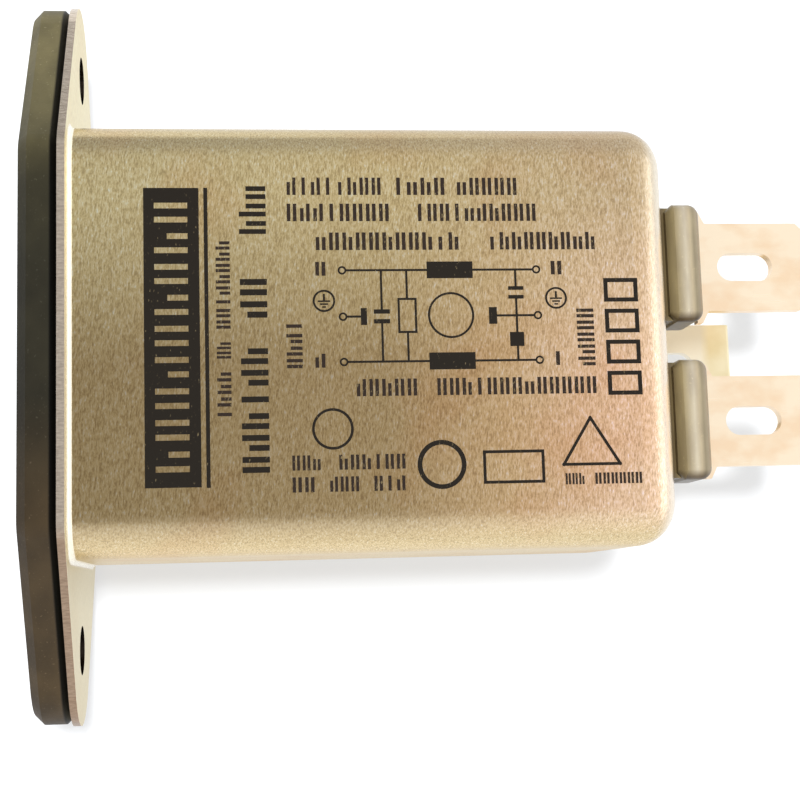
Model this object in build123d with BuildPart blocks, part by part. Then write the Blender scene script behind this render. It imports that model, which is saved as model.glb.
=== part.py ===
from build123d import *
from math import cos, radians, sin, sqrt
import os

# A mains inlet with a line filter in a drawn steel case, in millimetres.
# X runs from the panel flange to the rear tabs, Y along the flange and Z up.
# The origin is midway between the two fixing holes, on the back face of the flange.

os.makedirs("parts", exist_ok=True)

# drawn case and its flange
sheet = 0.5
case_width = 28.2
case_height = 20.5
case_corner = 3.0
rear_edge = 2.6
flange_bend = 0.4
flange_lip = 1.0
shoulder_setback = 1.7
shoulder_round = 2.0
hole_offset = 5.9
hole_radius = 1.65
ear_radius = 5.0

# front moulding, with the socket for the mains connector
bezel_depth = 2.5
bezel_inset = 0.15
bezel_front_chamfer = 0.6
bezel_back_chamfer = 0.45
screw_head_radius = 3.1
screw_head_angle = 90
socket_width = 24.5
socket_height = 16.4
socket_depth = 17.2
socket_key = 4.8
socket_round = 1.2
socket_lead_in = 0.5
socket_floor = 2.0
shell_clearance = 0.25

# contact pins and their solder tails
pin_height = 4.0
pin_width = 2.0
pin_spread = 14.0
pin_row_offset = 2.0
line_pin_setback = 3.2
earth_pin_setback = 1.2
pin_tip_chamfer = 0.6
tail_height = 2.5
tail_thickness = 0.8
tail_length = 4.0

# load tabs, their bushings and the earth tab
tab_width = 6.3
tab_thickness = 0.8
tab_spread = 10.94
tab_level = 3.3
tab_reach = 12.2
tab_inner_reach = 1.5
tab_slot_length = 4.0
tab_slot_width = 2.0
tab_slot_setback = 4.96
tab_tip_chamfer = 1.1
tab_edge_chamfer = 0.2
shoulder_width = 8.0
shoulder_length = 0.4
shoulder_slant = 0.45
bushing_width = 8.3
bushing_height = 4.8
bushing_head = 2.4
bushing_round = 0.8
bushing_seat_chamfer = 0.5
plinth_length = 1.2
plinth_inset = 0.15
plinth_drop = 1.0
neck_width = 7.4
neck_height = 2.6
neck_round = 0.6
neck_clearance = 0.05
earth_tab_level = -7.0
earth_tab_reach = 9.3
earth_foot_height = 5.0
earth_bend = 0.5

# common-mode choke
core_outer_radius = 7.0
core_inner_radius = 4.0
core_length = 6.5
core_chamfer = 0.6
core_to_x_cap = 3.2
core_to_rear_wall = 3.1
wire_diameter = 1.0
wire_side_count = 6
wire_gap = 0.05
corner_cut = 0.7
turns_per_winding = 6
turn_step = 20.0
lead_stand_off = 1.35
lead_clearance = 0.2
tail_turn = 2.7
divider_thickness = 0.8
divider_overhang = 1.0

# capacitors, resistor and their leads
x_cap_width = 13.0
x_cap_height = 11.0
x_cap_thickness = 5.0
x_cap_setback = 0.8
x_cap_round = 0.4
x_cap_lead_spread = 10.0
x_cap_lead_drop = 2.5
x_cap_lead_diameter = 0.8
y_cap_radius = 4.0
y_cap_thickness = 3.5
y_cap_chamfer = 0.8
y_cap_setback = 1.0
y_cap_lead_spread = 5.0
y_cap_lead_diameter = 0.6
y_cap_lead_drop = 1.8
resistor_length = 6.0
resistor_radius = 1.15
resistor_lead_diameter = 0.6

# earth strap and insulating liner
strap_width = 3.0
strap_thickness = 0.4
strap_foot = 3.8
liner_thickness = 0.25
liner_clearance = 0.1
liner_gap_front = 0.6
liner_gap_rear = 0.3
seat_gap = 0.05

# a flat this share of a bend's radius keeps the sheet's thickness midway round the bend
bend_flat = 2 - sqrt(2)
near = 0.01

# places from front to rear: the case is as deep as the row of parts that it holds
front = -sheet - bezel_depth
socket_end = front + socket_depth
moulding_end = socket_end + socket_floor
tail_end = moulding_end + tail_length
line_pin_tip = front + line_pin_setback
earth_pin_tip = front + earth_pin_setback
x_cap_front = tail_end + x_cap_setback
x_cap_middle = x_cap_front + x_cap_thickness / 2
core_front = x_cap_front + x_cap_thickness + core_to_x_cap
core_rear = core_front + core_length
rear_inside = core_rear + core_to_rear_wall
case_depth = rear_inside + sheet
bushing_end = case_depth + plinth_length + bushing_head
tab_inner_end = rear_inside - tab_inner_reach
tab_end = case_depth + tab_reach
y_cap_middle = core_front - y_cap_setback - y_cap_radius
liner_front = moulding_end + liner_gap_front
liner_rear = rear_inside - (rear_edge - sheet) - liner_gap_rear

# widths, heights and levels: the flange goes round the case, and the parts fit inside it
flange_width = case_height + 2 * flange_lip
flange_shoulder = case_width / 2 - shoulder_setback
hole_spacing = case_width + 2 * hole_offset
inner_width = case_width - 2 * sheet
inner_height = case_height - 2 * sheet
inner_corner = case_corner - sheet
lead_level = tab_level - tab_thickness / 2
inner_floor = -inner_height / 2
liner_space = liner_clearance + liner_thickness + seat_gap
x_cap_bottom = inner_height / 2 - liner_space - x_cap_height
resistor_level = x_cap_bottom - resistor_radius - seat_gap
y_cap_centre = inner_width / 2 - liner_space - y_cap_thickness / 2


# flange and bezel share one outline: a wide middle that tapers to an ear at each hole
def flange_outline(inset):
    with BuildSketch(mode=Mode.PRIVATE) as outline:
        Rectangle(2 * (flange_shoulder - inset), flange_width - 2 * inset)
        with Locations((-hole_spacing / 2, 0), (hole_spacing / 2, 0)):
            Circle(ear_radius - inset)
        make_hull()
        corners = [v for v in outline.vertices() if abs(v.X) < flange_shoulder + near]
        fillet(corners, shoulder_round)
    return outline.sketch


# the cavity inside the case, from the flange's front face to the rear wall
def make_cavity():
    with BuildPart() as cavity:
        with BuildSketch(Plane.YZ.offset(-sheet)):
            RectangleRounded(inner_width, inner_height, inner_corner)
        extrude(amount=case_depth)
        rear_corner = (rear_edge - sheet) * bend_flat
        chamfer(cavity.faces().sort_by(Axis.X)[-1].edges(), rear_corner)
    return cavity


# drawn case: box with a rounded closed end, turned out into the flange
def make_case(cavity, neck_hole):
    with BuildPart() as case:
        with BuildSketch(Plane.YZ.offset(-sheet)):
            add(flange_outline(0))
        extrude(amount=sheet)
        with BuildSketch(Plane.YZ):
            RectangleRounded(case_width, case_height, case_corner)
        extrude(amount=case_depth)
        fillet(case.faces().sort_by(Axis.X)[-1].edges(), rear_edge)
        back = case.faces().filter_by(Axis.X).sort_by(Axis.X)[-2]
        fillet(back.inner_wires().edges(), flange_bend)
        add(cavity.part, mode=Mode.SUBTRACT)
        mouth = case.faces().filter_by(Axis.X).sort_by(Axis.X)[0]
        chamfer(mouth.inner_wires().edges(), (flange_bend + sheet) * bend_flat)
        with Locations(
            Plane(origin=(0, hole_spacing / 2, 0), z_dir=(1, 0, 0)),
            Plane(origin=(0, -hole_spacing / 2, 0), z_dir=(1, 0, 0)),
        ):
            Hole(hole_radius, depth=sheet)
        with BuildSketch(Plane.YZ.offset(rear_inside)):
            with Locations((-tab_spread / 2, tab_level), (tab_spread / 2, tab_level)):
                RectangleRounded(*neck_hole)
        extrude(amount=sheet, mode=Mode.SUBTRACT)
    return case


# the socket's outline, with two corners cut on the earth side
def socket_outline():
    with BuildSketch(mode=Mode.PRIVATE) as outline:
        Rectangle(socket_width, socket_height)
        chamfer(outline.vertices().group_by(Axis.Y)[0], socket_key)
        fillet(outline.vertices(), socket_round)
    return outline.sketch


# front moulding: bezel, shell that fills the mouth of the case, socket and pin slots
def make_inlet_body(pin_places):
    shell_corner = inner_corner - shell_clearance
    with BuildPart() as body:
        with BuildSketch(Plane.YZ.offset(-sheet)):
            add(flange_outline(bezel_inset))
        extrude(amount=-bezel_depth)
        chamfer(body.faces().sort_by(Axis.X)[-1].edges(), bezel_back_chamfer)
        chamfer(body.faces().sort_by(Axis.X)[0].edges(), bezel_front_chamfer)
        with BuildSketch(Plane.YZ.offset(-sheet)):
            RectangleRounded(
                inner_width - 2 * shell_clearance, inner_height - 2 * shell_clearance, shell_corner
            )
        extrude(amount=moulding_end + sheet)
        with BuildSketch(Plane.YZ.offset(front)):
            add(socket_outline())
        extrude(amount=socket_depth, mode=Mode.SUBTRACT)
        mouth = body.faces().filter_by(Axis.X).sort_by(Axis.X)[0]
        socket_rim = mouth.inner_wires().edges()
        chamfer(socket_rim, socket_lead_in)
        with Locations(
            Plane(origin=(front, hole_spacing / 2, 0), z_dir=(-1, 0, 0)),
            Plane(origin=(front, -hole_spacing / 2, 0), z_dir=(-1, 0, 0)),
        ):
            CounterSinkHole(
                hole_radius,
                screw_head_radius,
                depth=bezel_depth,
                counter_sink_angle=screw_head_angle,
            )
        with BuildSketch(Plane.YZ.offset(socket_end)):
            with Locations(*pin_places):
                Rectangle(pin_width, pin_height)
        extrude(amount=socket_floor, mode=Mode.SUBTRACT)
    return body


# flat contact pin with a bevelled tip and a thin tail behind the moulding
def make_pin(y, z, tip):
    with BuildPart() as pin:
        with BuildSketch(Plane.YZ.offset(tip)):
            with Locations((y, z)):
                Rectangle(pin_width, pin_height)
        extrude(amount=moulding_end - tip)
        chamfer(pin.faces().sort_by(Axis.X)[0].edges(), pin_tip_chamfer)
        with BuildSketch(Plane.YZ.offset(moulding_end)):
            with Locations((y, z)):
                Rectangle(tail_thickness, tail_height)
        extrude(amount=tail_length)
    return pin


# flat load tab: blade with shoulders that stop on the bushing, a slot and a bevelled tip
def make_load_tab(y):
    slot_middle = tab_end - tab_slot_setback
    half = tab_width / 2
    half_shoulder = shoulder_width / 2
    shoulder_end = bushing_end + shoulder_length
    upper_edge = [
        (tab_inner_end, half),
        (bushing_end, half),
        (bushing_end, half_shoulder),
        (shoulder_end, half_shoulder),
        (shoulder_end + shoulder_slant, half),
        (tab_end, half),
    ]
    lower_edge = [(x, -w) for x, w in reversed(upper_edge)]
    with BuildPart() as tab:
        with BuildSketch(Plane.XY.offset(tab_level - tab_thickness / 2)) as blade:
            with Locations((0, y)):
                Polygon(*upper_edge, *lower_edge, align=None)
            chamfer(blade.vertices().group_by(Axis.X)[-1], tab_tip_chamfer)
            with Locations((slot_middle, y)):
                SlotOverall(tab_slot_length, tab_slot_width, mode=Mode.SUBTRACT)
        extrude(amount=tab_thickness)
        tip_edges = tab.faces().sort_by(Axis.X)[-1].edges().filter_by(Axis.Y)
        chamfer(tip_edges, tab_edge_chamfer)
    return tab


# moulded bushing: rounded head on a lower plinth, with a neck through the rear wall
def make_bushing(y):
    with BuildPart() as bushing:
        with BuildSketch(Plane.YZ.offset(case_depth + plinth_length)):
            with Locations((y, tab_level)):
                RectangleRounded(bushing_width, bushing_height, bushing_round)
        extrude(amount=bushing_head)
        fillet(bushing.faces().sort_by(Axis.X)[-1].edges(), bushing_round)
        chamfer(bushing.faces().sort_by(Axis.X)[0].edges(), bushing_seat_chamfer)
        with BuildSketch(Plane.YZ.offset(case_depth)):
            with Locations((y, tab_level)):
                Rectangle(bushing_width - 2 * plinth_inset, bushing_height - 2 * plinth_drop)
        extrude(amount=plinth_length + bushing_head / 2)
        with BuildSketch(Plane.YZ.offset(rear_inside)):
            with Locations((y, tab_level)):
                RectangleRounded(neck_width, neck_height, neck_round)
        extrude(amount=sheet)
        with BuildSketch(Plane.YZ.offset(rear_inside)):
            with Locations((y, tab_level)):
                Rectangle(tab_width, tab_thickness)
        extrude(amount=bushing_end - rear_inside, mode=Mode.SUBTRACT)
    return bushing


# earth tab: bent strip, its foot welded flat on the rear wall
def make_earth_tab():
    low = earth_tab_level - tab_thickness / 2
    end = case_depth + earth_tab_reach
    foot_face = case_depth + tab_thickness
    foot_top = low + earth_foot_height
    with BuildPart() as tab:
        with BuildSketch(Plane.XZ) as profile:
            with BuildLine():
                Polyline(
                    (case_depth, low),
                    (end, low),
                    (end, low + tab_thickness),
                    (foot_face, low + tab_thickness),
                    (foot_face, foot_top),
                    (case_depth, foot_top),
                    close=True,
                )
            make_face()
            outer_bend = profile.vertices().sort_by(Axis.X).group_by(Axis.Y)[0].sort_by(Axis.X)[0]
            inner_bend = [
                v for v in profile.vertices()
                if abs(v.X - foot_face) < near and v.Y < foot_top - near
            ]
            fillet(outer_bend, earth_bend + tab_thickness)
            fillet(inner_bend, earth_bend)
        extrude(amount=tab_width / 2, both=True)
        tip_edges = tab.faces().sort_by(Axis.X)[-1].edges().filter_by(Axis.Y)
        chamfer(tip_edges, tab_edge_chamfer)
        with BuildSketch(Plane.XY.offset(low)):
            with Locations((end - tab_slot_setback, 0)):
                SlotOverall(tab_slot_length, tab_slot_width)
        extrude(amount=tab_thickness, mode=Mode.SUBTRACT)
    return tab


# liner: a folded sheet of insulation under the roof and down both sides
def make_liner():
    length = liner_rear - liner_front
    wide = inner_width - 2 * liner_clearance
    high = inner_height - 2 * liner_clearance
    corner = inner_corner - liner_clearance
    with BuildPart() as liner:
        with BuildSketch(Plane.YZ.offset(liner_front)):
            RectangleRounded(wide, high, corner)
        extrude(amount=length)
        with BuildSketch(Plane.YZ.offset(liner_front)):
            RectangleRounded(
                wide - 2 * liner_thickness, high - 2 * liner_thickness, corner - liner_thickness
            )
        extrude(amount=length, mode=Mode.SUBTRACT)
        with BuildSketch(Plane.YZ.offset(liner_front)):
            with Locations((0, -high / 2)):
                Rectangle(wide, 2 * corner)
        extrude(amount=length, mode=Mode.SUBTRACT)
    return liner


# toroidal ferrite core, its axis along X, with bevelled edges under the wire
def make_core():
    with BuildPart() as core:
        with BuildSketch(Plane.YZ.offset(core_front)):
            Circle(core_outer_radius)
            Circle(core_inner_radius, mode=Mode.SUBTRACT)
        extrude(amount=core_length)
        chamfer(core.edges().filter_by(GeomType.CIRCLE), core_chamfer)
    return core


# insulating divider across the core's hole, between the two windings
def make_divider():
    with BuildPart() as divider:
        with BuildSketch(Plane.YZ.offset(core_front - divider_overhang)):
            reach = sqrt(core_inner_radius**2 - (divider_thickness / 2) ** 2) - seat_gap
            Rectangle(divider_thickness, 2 * reach)
        extrude(amount=core_length + 2 * divider_overhang)
    return divider


# route of one winding's wire: from the pin's tail, round the core, to the load tab
def winding_route(side):
    grip = wire_diameter / 2 + wire_gap
    wire_front = core_front - grip
    wire_rear = core_rear + grip
    wire_in = core_inner_radius - grip
    wire_out = (core_outer_radius + grip) / cos(radians(turn_step / 2))
    lead_front = wire_front - lead_stand_off
    lead_rear = (tab_inner_end + rear_inside) / 2 - seat_gap
    lead_side = x_cap_width / 2 + wire_diameter / 2 + lead_clearance
    tab_middle = tab_spread / 2
    first_angle = turn_step * turns_per_winding / 2

    def at(x, radius, angle):
        return (x, side * radius * cos(radians(angle)), radius * sin(radians(angle)))

    route = [
        (tail_end, side * lead_side, pin_row_offset),
        (lead_front, side * lead_side, pin_row_offset),
        at(lead_front, wire_out, first_angle),
    ]
    for turn in range(turns_per_winding):
        angle = first_angle - turn * turn_step
        route.append(at(wire_rear, wire_out, angle))
        route.append(at(wire_rear, wire_in, angle))
        route.append(at(wire_front, wire_in, angle))
        route.append(at(wire_front, wire_out, angle))
    bottom = at(lead_rear, wire_out, -first_angle)
    route.append(bottom)
    route.append((lead_rear, side * tab_middle, bottom[2] + tail_turn))
    route.append((lead_rear, side * tab_middle, lead_level))
    return route


# wire along a route, drawn with a few flats and with each corner cut into two mitres
def bent_wire(route, diameter):
    points = [Vector(*place) for place in route]
    bends = [points[0]]
    for before, corner, after in zip(points, points[1:], points[2:]):
        bends.append(corner + (before - corner).normalized() * corner_cut)
        bends.append(corner + (after - corner).normalized() * corner_cut)
    bends.append(points[-1])
    with BuildPart() as wire:
        with BuildLine() as path:
            Polyline(*bends)
        with BuildSketch(Plane(origin=bends[0], z_dir=bends[1] - bends[0])):
            RegularPolygon(diameter / 2, wire_side_count)
        sweep(path=path.wires()[0], transition=Transition.RIGHT)
    return wire.part


# one winding, a single enamelled wire
def make_winding(side):
    with BuildPart() as winding:
        add(bent_wire(winding_route(side), wire_diameter))
    return winding


# boxed film capacitor, standing behind the inlet with its leads downwards
def make_x_capacitor():
    with BuildPart() as capacitor:
        with BuildSketch(Plane.XY.offset(x_cap_bottom)):
            with Locations((x_cap_middle, 0)):
                Rectangle(x_cap_thickness, x_cap_width)
        extrude(amount=x_cap_height)
        fillet(capacitor.edges().filter_by(Axis.Z), x_cap_round)
    return capacitor


# leads of the film capacitor: down, forward, and up to the tails of the two live pins
def make_x_capacitor_leads():
    low = x_cap_bottom - x_cap_lead_drop
    tail_middle = (moulding_end + tail_end) / 2
    wires = []
    for side in (-1, 1):
        cap_side = side * x_cap_lead_spread / 2
        pin_side = side * pin_spread / 2
        route = [
            (x_cap_middle, cap_side, x_cap_bottom),
            (x_cap_middle, cap_side, low),
            (tail_middle, pin_side, low),
            (tail_middle, pin_side, pin_row_offset - tail_height / 2),
        ]
        wires.append(bent_wire(route, x_cap_lead_diameter))
    with BuildPart() as leads:
        add(wires)
    return leads


# coated disc capacitor, flat against the liner's side
def make_y_capacitor(side):
    with BuildPart() as disc:
        with BuildSketch(Plane.XZ.offset(-side * y_cap_centre)):
            with Locations((y_cap_middle, 0)):
                Circle(y_cap_radius)
        extrude(amount=y_cap_thickness / 2, both=True)
        chamfer(disc.edges().filter_by(GeomType.CIRCLE), y_cap_chamfer)
    return disc


# leads of a disc capacitor: one down to the case floor, one back to the load tab
def make_y_capacitor_leads(side):
    half_spread = y_cap_lead_spread / 2
    lead_radius = y_cap_lead_diameter / 2
    start = -sqrt(y_cap_radius**2 - (half_spread - lead_radius) ** 2)
    across = side * y_cap_centre
    overhang = inner_corner + lead_radius - liner_space - y_cap_thickness / 2
    foot = inner_floor + inner_corner - sqrt(inner_corner**2 - overhang**2)
    low = start - y_cap_lead_drop
    lug_middle = (tab_inner_end + rear_inside) / 2
    lug_side = side * (tab_spread / 2 + tab_width / 2 - 2 * lead_radius)
    down = [
        (y_cap_middle - half_spread, across, start),
        (y_cap_middle - half_spread, across, foot),
    ]
    back = [
        (y_cap_middle + half_spread, across, start),
        (y_cap_middle + half_spread, across, low),
        (lug_middle, lug_side, low),
        (lug_middle, lug_side, lead_level),
    ]
    wires = [bent_wire(route, y_cap_lead_diameter) for route in (down, back)]
    with BuildPart() as leads:
        add(wires)
    return leads


# bleed resistor, a barrel lying under the film capacitor
def make_resistor():
    with BuildPart() as resistor:
        with BuildSketch(Plane.XZ):
            with Locations((x_cap_middle, resistor_level)):
                Circle(resistor_radius)
        extrude(amount=resistor_length / 2, both=True)
    return resistor


# leads of the resistor, out to the leads of the film capacitor
def make_resistor_leads():
    inner = resistor_length / 2
    outer = (x_cap_lead_spread - x_cap_lead_diameter) / 2 - seat_gap
    wires = []
    for side in (-1, 1):
        route = [
            (x_cap_middle, side * inner, resistor_level),
            (x_cap_middle, side * outer, resistor_level),
        ]
        wires.append(bent_wire(route, resistor_lead_diameter))
    with BuildPart() as leads:
        add(wires)
    return leads


# earth strap: from the tail of the earth pin down to the floor of the case
def make_earth_strap():
    top = -pin_row_offset + tail_height / 2
    with BuildPart() as strap:
        with BuildSketch(Plane.XZ):
            with BuildLine():
                Polyline(
                    (tail_end, top),
                    (tail_end, inner_floor),
                    (tail_end + strap_foot, inner_floor),
                    (tail_end + strap_foot, inner_floor + strap_thickness),
                    (tail_end + strap_thickness, inner_floor + strap_thickness),
                    (tail_end + strap_thickness, top),
                    close=True,
                )
            make_face()
        extrude(amount=strap_width / 2, both=True)
    return strap


line_place = (pin_spread / 2, pin_row_offset)
neutral_place = (-pin_spread / 2, pin_row_offset)
earth_place = (0, -pin_row_offset)
neck_hole = (neck_width + 2 * neck_clearance, neck_height + 2 * neck_clearance, neck_round)

pieces = {
    "housing_can": make_case(make_cavity(), neck_hole),
    "inlet_body": make_inlet_body([line_place, neutral_place, earth_place]),
    "line_pin": make_pin(*line_place, line_pin_tip),
    "neutral_pin": make_pin(*neutral_place, line_pin_tip),
    "earth_pin": make_pin(*earth_place, earth_pin_tip),
    "line_load_tab": make_load_tab(tab_spread / 2),
    "neutral_load_tab": make_load_tab(-tab_spread / 2),
    "line_bushing": make_bushing(tab_spread / 2),
    "neutral_bushing": make_bushing(-tab_spread / 2),
    "earth_tab": make_earth_tab(),
    "insulating_liner": make_liner(),
    "choke_core": make_core(),
    "choke_divider": make_divider(),
    "line_winding": make_winding(1),
    "neutral_winding": make_winding(-1),
    "x_capacitor": make_x_capacitor(),
    "x_capacitor_leads": make_x_capacitor_leads(),
    "line_y_capacitor": make_y_capacitor(1),
    "neutral_y_capacitor": make_y_capacitor(-1),
    "line_y_capacitor_leads": make_y_capacitor_leads(1),
    "neutral_y_capacitor_leads": make_y_capacitor_leads(-1),
    "bleed_resistor": make_resistor(),
    "bleed_resistor_leads": make_resistor_leads(),
    "earth_strap": make_earth_strap(),
}

for name, piece in pieces.items():
    piece.part.label = name
    export_step(piece.part, f"parts/{name}.step")
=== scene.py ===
import math
import random

import bmesh
import bpy
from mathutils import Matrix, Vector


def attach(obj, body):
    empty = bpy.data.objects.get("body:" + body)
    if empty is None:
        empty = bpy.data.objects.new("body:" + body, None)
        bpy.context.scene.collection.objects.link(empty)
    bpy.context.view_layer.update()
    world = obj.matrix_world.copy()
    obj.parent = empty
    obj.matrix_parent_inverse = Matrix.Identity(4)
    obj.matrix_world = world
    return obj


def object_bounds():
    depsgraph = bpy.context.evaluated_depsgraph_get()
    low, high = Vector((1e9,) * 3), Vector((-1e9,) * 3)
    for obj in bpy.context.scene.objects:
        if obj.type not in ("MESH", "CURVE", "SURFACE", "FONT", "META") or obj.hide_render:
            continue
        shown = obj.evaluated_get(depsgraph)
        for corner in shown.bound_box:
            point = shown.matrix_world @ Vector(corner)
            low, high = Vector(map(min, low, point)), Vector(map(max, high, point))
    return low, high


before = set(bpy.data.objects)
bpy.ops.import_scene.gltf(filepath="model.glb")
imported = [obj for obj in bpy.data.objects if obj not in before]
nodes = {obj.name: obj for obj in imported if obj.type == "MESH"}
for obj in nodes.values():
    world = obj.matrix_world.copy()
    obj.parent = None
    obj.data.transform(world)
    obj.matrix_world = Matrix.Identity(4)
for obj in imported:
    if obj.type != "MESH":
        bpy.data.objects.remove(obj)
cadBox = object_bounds()
print("frame loaded:", len(nodes), "nodes")

# A mains inlet filter lying on its side, seen from above. Sizes here are in millimetres
# and are turned to metres by mm. X runs from the panel flange to the tabs, Z is up.
mm = 0.001


def hexColour(code):  # a colour as written for the screen, turned to the linear one that is rendered
    channels = [int(code[i:i + 2], 16) / 255 for i in (1, 3, 5)]
    linear = [c / 12.92 if c <= 0.04045 else ((c + 0.055) / 1.055) ** 2.4 for c in channels]
    return (*linear, 1.0)


def grey(level):
    return (level, level, level, 1.0)


def addNode(tree, kind, settings=None, links=None, stops=None, out=0):
    # settings are the node's own fields or its sockets' values, links go from a socket to its
    # source; gives the output asked for, or the node itself where out is None
    node = tree.nodes.new(kind)
    for name, value in (settings or {}).items():
        if isinstance(name, str) and hasattr(node, name):
            setattr(node, name, value)
        else:
            node.inputs[name].default_value = value
    for name, source in (links or {}).items():
        tree.links.new(source, node.inputs[name])
    if stops:
        ramp = node.color_ramp
        while len(ramp.elements) < len(stops):
            ramp.elements.new(0.5)
        for element, (place, colour) in zip(ramp.elements, stops):
            element.position = place
            element.color = colour
    return node if out is None else node.outputs[out]


def newMaterial(name):
    material = bpy.data.materials.new(name)
    material.use_nodes = True
    tree = material.node_tree
    return material, tree, tree.nodes["Principled BSDF"]


def noiseOf(tree, size, detail=2.0, turn=0.0, rough=0.5):
    # noise whose features are about size millimetres along each axis, turned about Z
    places = addNode(tree, "ShaderNodeTexCoord", out="Object")
    turned = addNode(tree, "ShaderNodeMapping", {"Rotation": (0, 0, math.radians(turn))}, {"Vector": places})
    scaled = addNode(tree, "ShaderNodeMapping", {"Scale": [1 / (s * mm) for s in size]}, {"Vector": turned})
    return addNode(
        tree, "ShaderNodeTexNoise", {"Scale": 1.0, "Detail": detail, "Roughness": rough},
        {"Vector": scaled}, out="Fac",
    )


def facing(tree, direction, low=0.2, high=0.8):
    # 0 to 1 as the surface turns towards a direction
    normal = addNode(tree, "ShaderNodeNewGeometry", out="Normal")
    turned = addNode(
        tree, "ShaderNodeVectorMath", {"operation": "DOT_PRODUCT", 1: direction}, {0: normal}, out="Value"
    )
    return addNode(tree, "ShaderNodeMapRange", {"From Min": low, "From Max": high}, {"Value": turned})


def toneAlong(tree, direction, stops):
    # a colour that changes along a direction, each stop a distance in millimetres and a hex colour
    low, high = stops[0][0], stops[-1][0]
    places = addNode(tree, "ShaderNodeTexCoord", out="Object")
    reach = addNode(
        tree, "ShaderNodeVectorMath", {"operation": "DOT_PRODUCT", 1: direction}, {0: places}, out="Value"
    )
    share = addNode(
        tree, "ShaderNodeMapRange", {"From Min": low * mm, "From Max": high * mm}, {"Value": reach}
    )
    return addNode(
        tree, "ShaderNodeValToRGB", {}, {"Fac": share},
        stops=[((place - low) / (high - low), hexColour(code)) for place, code in stops],
    )


# How a colour is laid on another: over it, or as a tint that darkens it. The sockets are
# 0 for its share, 6 for the colour below and 7 for the one that is laid on.
cover = {"data_type": "RGBA", "blend_type": "MIX"}
tint = {"data_type": "RGBA", "blend_type": "MULTIPLY"}

# Camera, at the photograph's viewing angle
camera = {
    "place": (10.18, -16.89, 105.56),
    "turn": (7.683, -5.972, -1.607),
    "lens": 68.13,
    "sensor": 36.0,
    "shift": (0.0091, -0.0053),
    "clipStart": 5,
}
cameraData = bpy.data.cameras.new("camera")
cameraData.lens = camera["lens"]
cameraData.sensor_width = camera["sensor"]
cameraData.shift_x, cameraData.shift_y = camera["shift"]
cameraData.clip_start = camera["clipStart"] * mm
cameraObject = bpy.data.objects.new("camera", cameraData)
cameraObject.location = [v * mm for v in camera["place"]]
cameraObject.rotation_euler = [math.radians(v) for v in camera["turn"]]
bpy.context.scene.collection.objects.link(cameraObject)
bpy.context.scene.camera = cameraObject
bpy.context.scene.view_settings.view_transform = "Standard"
print("camera set")


# Tin-plated steel, rolled and then drawn into a box: warm pale metal full of short fine
# streaks that glint one by one. Over the top its colour is painted to drift from olive at the
# flange to rose at the closed end, and lighter or darker from corner to corner: painted shade
# and highlight. The bends at both ends are painted nearly white as a painted highlight, the
# faces square to X are made paler, and its sheared edge is a dull rosy grey.
# The streaks are finer on real sheet and are drawn this coarse so that they show.
drawnTin = {
    "streakTones": [(0.34, "#C9B186"), (0.50, "#EDD6A4"), (0.64, "#FCEBC6"), (0.71, "#FFFCEE")],
    "streak": {"size": (0.10, 0.34, 0.10), "detail": 3.0, "turn": 5, "rough": 0.6},
    "cloud": {"size": (7.0, 9.0, 7.0), "detail": 4.0, "turn": 20},
    "pink": "#EFC9AC",
    "pinkShare": {"From Min": 0.50, "From Max": 0.72, "To Max": 0.35},
    "rust": "#8C5236",
    "rustSpot": {"size": (0.9, 0.9, 0.9)},
    "rustShare": {"From Min": 0.79, "From Max": 0.85, "To Max": 0.4},
    # the painted shade and highlight along X at the far edge and at the near one, which the top fades between
    "farShade": [(2.0, "#F7FBF5"), (20.0, "#E8E7DE"), (36.0, "#DDD7DA")],
    "nearShade": [(2.0, "#C0B9AE"), (20.0, "#BEB5AB"), (28.0, "#E0D2CC"), (35.0, "#FFF0FF")],
    "fade": {"From Min": -2.0 * mm, "From Max": 9.0 * mm},
    # painted light on the faces towards -Y and painted shade on those towards +Y
    "paintedNearSide": "#F0ECE2",
    "paintedFarSide": "#E6E2D8",
    "bend": {"From Min": 0.97, "From Max": 0.72},  # the squared normal's length, 1 on a flat
    # painted highlight on the bends, most on those that turn along X
    "bendHighlight": "#FBF5E6",
    "bendHighlightShare": {"From Min": 0.14, "From Max": 0.60, "To Min": 0.12, "To Max": 0.70},
    # the faces square to X, the flange's face among them, are made paler
    "pressed": "#FAF2C8",
    "squareFaceShare": {"From Min": 0.92, "From Max": 0.98, "To Max": 0.5},
    "sheared": [(0.35, "#CDBEAD"), (0.65, "#E6D8C7")],
    # painted shade on the sheared edge where it faces -Y
    "shearedNearShade": "#BCACA0",
    "shearTurn": (0.1, 0.6),  # how far towards -Y it must face to take the full painted shade
    "shearLine": {"size": (0.5, 0.12, 0.12)},
    "behindFace": -0.01,  # the sheared edge lies before this place along X
    "edgeways": 0.3,  # and its squared normal has less than this along X
    # painted highlight on the bend at the case's mouth
    "pale": "#FFFAEA",
    "paleZone": (0.17, 0.175),  # middle and half width along X of the mouth's bend
    "paleTurn": {"From Min": 0.97, "From Max": 0.85},  # not on the flange's flat face
    "paleShare": {"To Max": 0.75},
    "paleMetal": {"To Min": 1.0, "To Max": 0.65},
    # painted shade on the walls of the flange's holes
    "holeShade": "#4A4038",
    "holeShadeReach": (20.0, 1.8),  # how far out the flange's holes are, and how far around them it lies
    "roughness": {"To Min": 0.34, "To Max": 0.22},  # on the flats and on the bends
    "roughDrift": {"To Min": -0.06, "To Max": 0.06},
    "bump": 0.012,
    "bumpShare": {"To Min": 1.0, "To Max": 0.7},  # on the flats and on the bends
}


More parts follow.
